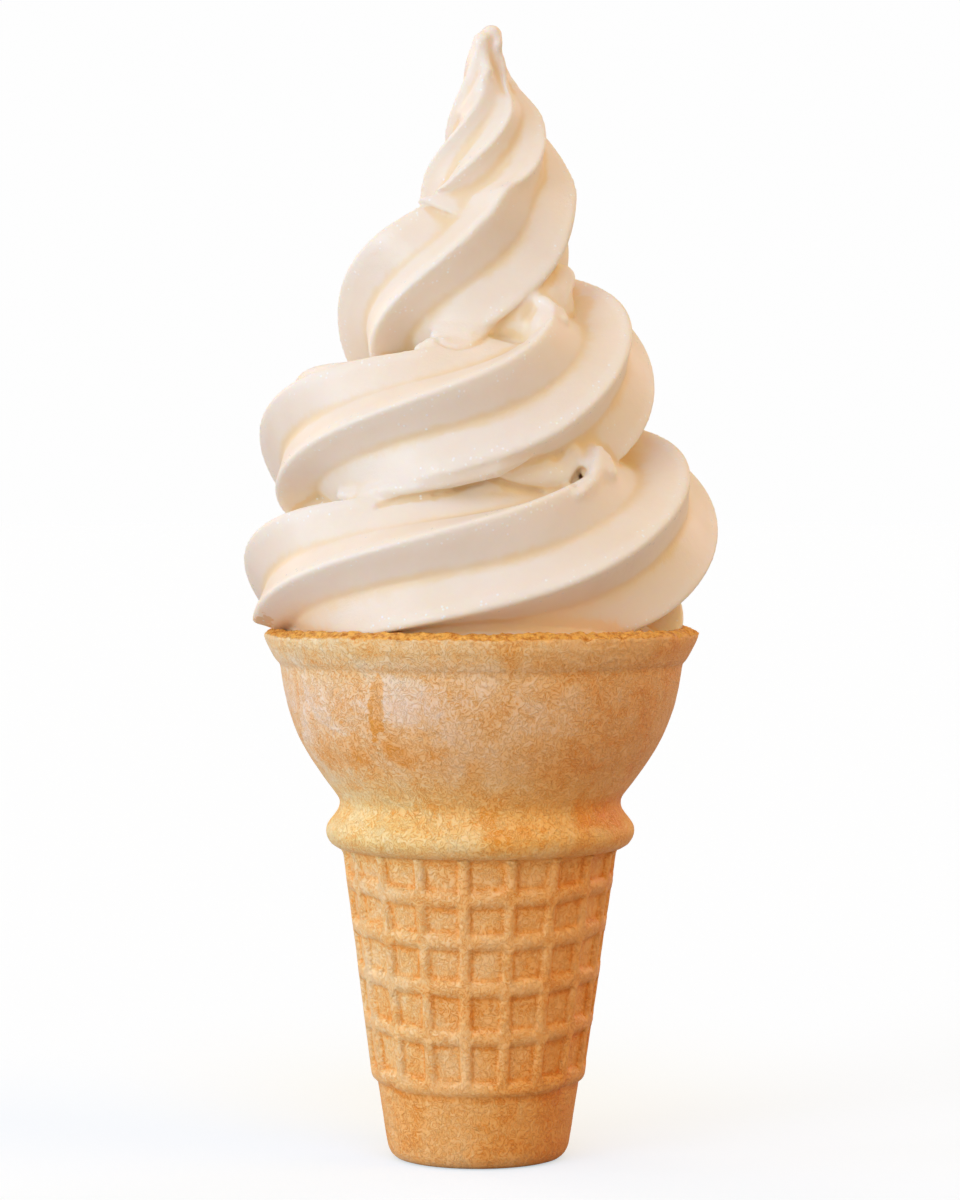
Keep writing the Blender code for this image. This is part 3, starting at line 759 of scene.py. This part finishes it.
def value_of(tree, operation, a, b=0.0, clamp=False):
    return add_node(tree, "Math", {"operation": operation, "use_clamp": clamp}, i0=a, i1=b).outputs[0]


def times(tree, a, b):
    return value_of(tree, "MULTIPLY", a, b)


def plus(tree, a, b):
    return value_of(tree, "ADD", a, b)


def stretch(tree, value, low, high, to_low=0.0, to_high=1.0, smooth=False):
    """Maps low to to_low and high to to_high, and stays at those beyond them."""
    settings = {"interpolation_type": "SMOOTHSTEP"} if smooth else {}
    made = add_node(tree, "MapRange", settings, Value=value)
    for name, number in (("From Min", low), ("From Max", high), ("To Min", to_low), ("To Max", to_high)):
        made.inputs[name].default_value = number
    return made.outputs[0]


def mix_colour(tree, share, first, second, blend="MIX", clamp=False):
    settings = {"data_type": "RGBA", "blend_type": blend, "clamp_result": clamp}
    return add_node(tree, "Mix", settings, i0=share, i6=first, i7=second).outputs[2]


def colour_ramp(tree, value, stops):
    made = tree.nodes.new("ShaderNodeValToRGB")
    tree.links.new(value, made.inputs[0])
    while len(made.color_ramp.elements) < len(stops):
        made.color_ramp.elements.new(1.0)
    for element, (level, colour) in zip(made.color_ramp.elements, stops):
        element.position = level
        element.color = (*colour, 1)
    return made.outputs[0]


def texture_noise(tree, where, size, detail=2.0, rough=0.5, distortion=0.0):
    """Noise of about 0 to 1 with features of the given size in millimetres."""
    made = add_node(tree, "TexNoise", None, Vector=where, Scale=1 / (size * MM))
    for name, number in (("Detail", detail), ("Roughness", rough), ("Distortion", distortion)):
        made.inputs[name].default_value = number
    return made.outputs["Fac"]


def cells(tree, where, size):
    """Distance from the nearest of many points, and a random number for that point."""
    made = add_node(tree, "TexVoronoi", None, Vector=where, Scale=1 / (size * MM))
    chance = add_node(tree, "SeparateColor", None, Color=made.outputs["Color"]).outputs[0]
    return made.outputs["Distance"], chance


def attribute(tree, name):
    return add_node(tree, "Attribute", {"attribute_name": name}).outputs["Fac"]


def bump(tree, height, distance, strength, normal=None):
    extra = {} if normal is None else {"Normal": normal}
    made = add_node(tree, "Bump", None, Height=height, Distance=distance * MM, Strength=strength, **extra)
    return made.outputs[0]


def patch_at(tree, place, wobble, across, up, half_across, half_up):
    """1 inside an uneven oval on the front, 0 outside it."""
    side = value_of(tree, "SUBTRACT", place.outputs["X"], across * MM)
    side = value_of(tree, "DIVIDE", side, half_across * MM)
    rise = value_of(tree, "SUBTRACT", place.outputs["Z"], up * MM)
    rise = value_of(tree, "DIVIDE", rise, half_up * MM)
    away = value_of(tree, "POWER", plus(tree, times(tree, side, side), times(tree, rise, rise)), 0.5)
    inside = stretch(tree, plus(tree, away, wobble), 0.75, 1.1, 1.0, 0.0, smooth=True)
    return times(tree, inside, value_of(tree, "LESS_THAN", place.outputs["Y"], 0.0))


def start_material(name):
    """A new material with its node tree, its shader and the place in the object's own space."""
    material = bpy.data.materials.new(name)
    material.use_nodes = True
    tree = material.node_tree
    return material, tree, tree.nodes["Principled BSDF"], add_node(tree, "TexCoord").outputs["Object"]


def set_depth(shader, weight, radius, scale, specular):
    """How deep light goes into the food, and how much its surface reflects."""
    shader.inputs["Subsurface Weight"].default_value = weight
    shader.inputs["Subsurface Radius"].default_value = radius
    shader.inputs["Subsurface Scale"].default_value = scale
    shader.inputs["Specular IOR Level"].default_value = specular


def cream_colour(tree, where, hollow):
    """Cream with painted shade in the creases, a painted highlight on the crests, painted warm shade and
    light reflected from the wafer low down, and one drop of syrup.
    """
    place = add_node(tree, "SeparateXYZ", None, Vector=where)
    cloud = texture_noise(tree, where, 9.0, 3.0)
    creamy = mix_colour(tree, stretch(tree, cloud, 0.35, 0.65), *CREAM)
    # Painted shade: darker, warmer tan in the creases.
    crease = stretch(tree, hollow, 0.12, 0.85, smooth=True)
    creamy = mix_colour(tree, crease, creamy, CREASE_SHADE_COLOUR)
    # Painted highlight: whiter along the crests.
    raised = stretch(tree, hollow, -0.9, -0.3, 0.6, 0.0, smooth=True)
    creamy = mix_colour(tree, raised, creamy, CREST_HIGHLIGHT_COLOUR)
    # Painted warm shade and light reflected from the wafer: low down near the cup, most in the hollows.
    low = stretch(tree, place.outputs["Z"], 0.076, 0.086, 1.0, 0.0, smooth=True)
    warm = times(tree, low, stretch(tree, hollow, -0.1, 0.35, 0.28, 0.9))
    creamy = mix_colour(tree, warm, creamy, LOW_WARM_SHADE_COLOUR)
    wobble = stretch(tree, texture_noise(tree, where, 1.0, 3.0), 0.2, 0.8, -0.7, 0.7)
    syrup = patch_at(tree, place, wobble, *SYRUP)
    return mix_colour(tree, times(tree, syrup, 0.7), creamy, SYRUP_COLOUR)


def frost_glints(tree, where, hollow):
    """Specks of frost, mostly along the crests and in some clouds elsewhere, where glints are painted: 1 in
    the middle of each.
    """
    distance, chance = cells(tree, where, 0.75)
    crest = stretch(tree, hollow, -0.8, -0.4, 1.0, 0.0)
    cloud = stretch(tree, texture_noise(tree, where, 9.0, 2.0), 0.58, 0.72, 0.0, 0.3)
    often = value_of(tree, "MAXIMUM", times(tree, crest, 0.5), cloud)
    speck = stretch(tree, distance, 0.12, 0.34, 1.0, 0.0, smooth=True)
    return times(tree, value_of(tree, "LESS_THAN", chance, often), speck)


def ice_cream_material():
    material, tree, shader, where = start_material("soft_serve")
    hollow = attribute(tree, "hollow")
    glint = frost_glints(tree, where, hollow)
    # The specks of frost get a painted glint, white, as their colour; their low roughness and small bumps are
    # real.
    colour = mix_colour(tree, times(tree, glint, 0.95), cream_colour(tree, where, hollow), GLINT_COLOUR)
    tree.links.new(colour, shader.inputs["Base Color"])
    rough = stretch(tree, texture_noise(tree, where, 3.0, 3.0), 0.3, 0.7, 0.32, 0.48)
    rough = times(tree, rough, stretch(tree, glint, 0.0, 1.0, 1.0, 0.25))
    tree.links.new(rough, shader.inputs["Roughness"])
    frost = texture_noise(tree, where, 0.35, 2.0, 0.6)
    frosted = stretch(tree, texture_noise(tree, where, 11.0, 2.0), 0.45, 0.62, 0.15, 1.0)
    soft = bump(tree, texture_noise(tree, where, 2.2, 3.0), 0.25, 0.35)
    grain = bump(tree, times(tree, frost, frosted), 0.10, 0.5, soft)
    tree.links.new(bump(tree, glint, 0.035, 0.8, grain), shader.inputs["Normal"])
    set_depth(shader, 0.35, (1.0, 0.55, 0.25), 0.003, 0.45)
    return material


def plain_bake(tree, place):
    """The wafer's colour by height, times painted light and shade by side: paler on the left, darker and more
    orange on the right.
    """
    tan = [(height / BAKED_TOP, colour) for height, colour in BAKED]
    tan = colour_ramp(tree, stretch(tree, place.outputs["Z"], 0.0, BAKED_TOP * MM), tan)
    flat = add_node(tree, "CombineXYZ", None, X=place.outputs["X"], Y=place.outputs["Y"]).outputs[0]
    outward = add_node(tree, "VectorMath", {"operation": "NORMALIZE"}, i0=flat).outputs[0]
    side = add_node(tree, "SeparateXYZ", None, Vector=outward).outputs["X"]
    # Painted light and shade round the cup: paler on the left, darker and more orange on the right.
    turned = [((x + 1) / 2, colour) for x, colour in SIDE_LIGHT_AND_SHADE]
    turned = colour_ramp(tree, stretch(tree, side, -1.0, 1.0), turned)
    return mix_colour(tree, 1.0, tan, turned, "MULTIPLY")


def bake_marks(tree, where, place, hollow, broad, worm, fine, line):
    """How deeply the wafer is baked, from 0 to 1: clouds, wrinkles, specks and patches, with painted shade in
    the grooves and a painted highlight where the surface is raised.
    """
    often = stretch(tree, broad, 0.35, 0.62, 0.25, 1.0)
    marks = times(tree, times(tree, line, often), 0.62)
    marks = plus(tree, marks, stretch(tree, worm, 0.53, 0.72, 0.0, -0.36))
    marks = plus(tree, marks, stretch(tree, fine, 0.3, 0.7, 0.17, -0.17))
    lattice = stretch(tree, place.outputs["Z"], 0.0435, 0.0465, 1.0, 0.0)
    marks = times(tree, marks, stretch(tree, lattice, 0.0, 1.0, 0.68, 0.8))
    bake = plus(tree, marks, stretch(tree, broad, 0.25, 0.75, 0.0, 0.80))
    # Painted shade: deeper, darker orange in the grooves beside the ribs and under the rings, most of all on
    # the lattice.
    groove_shade = stretch(tree, hollow, 0.15, 0.8, 0.0, 0.3)
    bake = plus(tree, bake, times(tree, groove_shade, stretch(tree, lattice, 0.0, 1.0, 0.2, 1.0)))
    # Painted highlight: paler where the surface is raised, as on the ribs and rings.
    bake = plus(tree, bake, stretch(tree, hollow, -0.7, -0.1, -0.08, 0.0))
    wobble = stretch(tree, texture_noise(tree, where, 2.2, 4.0, 0.6), 0.2, 0.8, -0.6, 0.6)
    for *oval, much in PATCHES:
        bake = plus(tree, bake, times(tree, patch_at(tree, place, wobble, *oval), much))
    return value_of(tree, "MULTIPLY", bake, 1.0, clamp=True)


def wafer_material():
    material, tree, shader, where = start_material("wafer")
    place = add_node(tree, "SeparateXYZ", None, Vector=where)
    broad = texture_noise(tree, where, 6.0, 5.0, 0.62, 0.8)
    worm = texture_noise(tree, where, 1.05, 2.0, 0.5, 2.0)
    fine = texture_noise(tree, where, 0.5, 2.0, 0.6, 0.5)
    middle = value_of(tree, "ABSOLUTE", value_of(tree, "SUBTRACT", worm, 0.47))
    line = stretch(tree, middle, 0.0, 0.045, 1.0, 0.0, smooth=True)
    distance, chance = cells(tree, where, 1.7)
    lone = value_of(tree, "GREATER_THAN", chance, 0.7)
    pit = times(tree, stretch(tree, distance, 0.06, 0.13, 1.0, 0.0), lone)

    bake = bake_marks(tree, where, place, attribute(tree, "hollow"), broad, worm, fine, line)
    factor = colour_ramp(tree, bake, BAKE_FACTORS)
    tan = mix_colour(tree, 1.0, plain_bake(tree, place), factor, "MULTIPLY")
    tan = mix_colour(tree, 1.0, tan, (BAKE_GAIN, BAKE_GAIN, BAKE_GAIN, 1), "MULTIPLY", clamp=True)
    crumb = stretch(tree, texture_noise(tree, where, 0.8, 3.0, 0.6), 0.34, 0.56)
    tan = mix_colour(tree, attribute(tree, "edge"), tan, mix_colour(tree, crumb, *CRUST))
    tan = mix_colour(tree, times(tree, pit, 0.5), tan, PIT_COLOUR)
    tree.links.new(tan, shader.inputs["Base Color"])
    tree.links.new(stretch(tree, broad, 0.3, 0.7, 0.5, 0.38), shader.inputs["Roughness"])

    grain = bump(tree, fine, 0.08, 0.5)
    worms = bump(tree, worm, 0.32, 0.5, grain)
    lines = bump(tree, value_of(tree, "SUBTRACT", 1.0, line), 0.06, 0.9, worms)
    pits = bump(tree, value_of(tree, "SUBTRACT", 1.0, pit), 0.1, 0.6, lines)
    tree.links.new(pits, shader.inputs["Normal"])
    set_depth(shader, 0.08, (1.0, 0.4, 0.15), 0.0012, 0.4)
    return material


# ---------------------------------------------------------------- light, floor and camera

FILL_LIGHT = (0.717, 0.507, 0.251)
BACKDROP = 0.99
# Soft lights: where each shines from, and how strong its red, green and blue are.
SUNS = (
    ("front_top", (0.0, -0.6, 0.8), (0.02, 0.10, 0.245)),
    ("front_left", (-0.6, -0.6, 0.15), (0.305, 0.38, 0.44)),
    ("left", (-0.95, -0.1, 0.15), (0.118, 0.161, 0.223)),
    ("right_top", (0.7, -0.3, 0.7), (0.139, 0.084, 0.013)),
    ("right_back", (0.7, 0.6, 0.3), (0.092, 0.069, 0.082)),
    ("left_back", (-0.7, 0.6, 0.3), (0.118, 0.08, 0.068)),
)
SUN_SPREAD = 32
FLOOR_COLOUR = (0.49, 0.50, 0.585)
FLOOR_GLOW = (0.52, 0.60, 0.63)
FLOOR_HALF_SIZE = 4000.0
EYE = (0.0, -0.630, 0.1055)
AIM = (0.0, 0.0, 0.0802)
# How much height the picture takes in at the cone's axis, in metres; the sensor is in millimetres.
VIEW_HEIGHT = 0.17184
SENSOR = 36.0


def camera():
    data = bpy.data.cameras.new("camera")
    data.sensor_fit = "VERTICAL"
    data.sensor_height = SENSOR
    data.sensor_width = SENSOR
    data.lens = SENSOR * -EYE[1] / VIEW_HEIGHT
    data.clip_end = 20.0
    made = bpy.data.objects.new("camera", data)
    made.location = EYE
    made.rotation_euler = (Vector(AIM) - Vector(EYE)).to_track_quat("-Z", "Y").to_euler()
    bpy.context.scene.collection.objects.link(made)
    bpy.context.scene.camera = made


def sun(name, source, colour):
    """A soft distant light that shines from the given direction."""
    strength = max(colour)
    data = bpy.data.lights.new(name, "SUN")
    data.energy = strength * math.pi
    data.angle = math.radians(SUN_SPREAD)
    data.color = [part / strength for part in colour]
    made = bpy.data.objects.new(name, data)
    made.rotation_euler = (-Vector(source)).to_track_quat("-Z", "Y").to_euler()
    bpy.context.scene.collection.objects.link(made)


def studio():
    """A warm fill from all round that the camera sees as white, and soft lights: cool left, warm right."""
    world = bpy.data.worlds.new("studio")
    bpy.context.scene.world = world
    world.use_nodes = True
    tree = world.node_tree
    seen = add_node(tree, "LightPath").outputs["Is Camera Ray"]
    fill = tree.nodes["Background"]
    fill.inputs["Color"].default_value = (*FILL_LIGHT, 1.0)
    fill.inputs["Strength"].default_value = 1.0
    white = add_node(tree, "Background", None, Color=(1.0, 1.0, 1.0, 1.0), Strength=BACKDROP)
    either = add_node(tree, "MixShader", None, i0=seen, i1=fill.outputs[0], i2=white.outputs[0])
    tree.links.new(either.outputs[0], tree.nodes["World Output"].inputs["Surface"])
    bpy.context.scene.view_settings.view_transform = "Standard"
    for name, source, colour in SUNS:
        sun(name, source, colour)


def floor():
    """A pale floor that glows a little to the camera alone, so that it blends into the white."""
    size = FLOOR_HALF_SIZE
    vertices = [(-size, -size, 0), (size, -size, 0), (size, size, 0), (-size, size, 0)]
    made = new_object("floor", vertices, [(0, 1, 2, 3)])
    material = bpy.data.materials.new("floor")
    material.use_nodes = True
    tree = material.node_tree
    shader = tree.nodes["Principled BSDF"]
    shader.inputs["Base Color"].default_value = (*FLOOR_COLOUR, 1.0)
    shader.inputs["Roughness"].default_value = 0.8
    shader.inputs["Specular IOR Level"].default_value = 0.0
    shader.inputs["Emission Color"].default_value = (*FLOOR_GLOW, 1.0)
    tree.links.new(add_node(tree, "LightPath").outputs["Is Camera Ray"], shader.inputs["Emission Strength"])
    made.data.materials.append(material)


swirl = soft_serve()
swirl.data.materials.append(ice_cream_material())
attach(swirl, "root")
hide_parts("soft_serve")

cup = wafer_cup()
cup.data.materials.append(wafer_material())
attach(cup, "root")
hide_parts("wafer_cup")

floor()
studio()
camera()
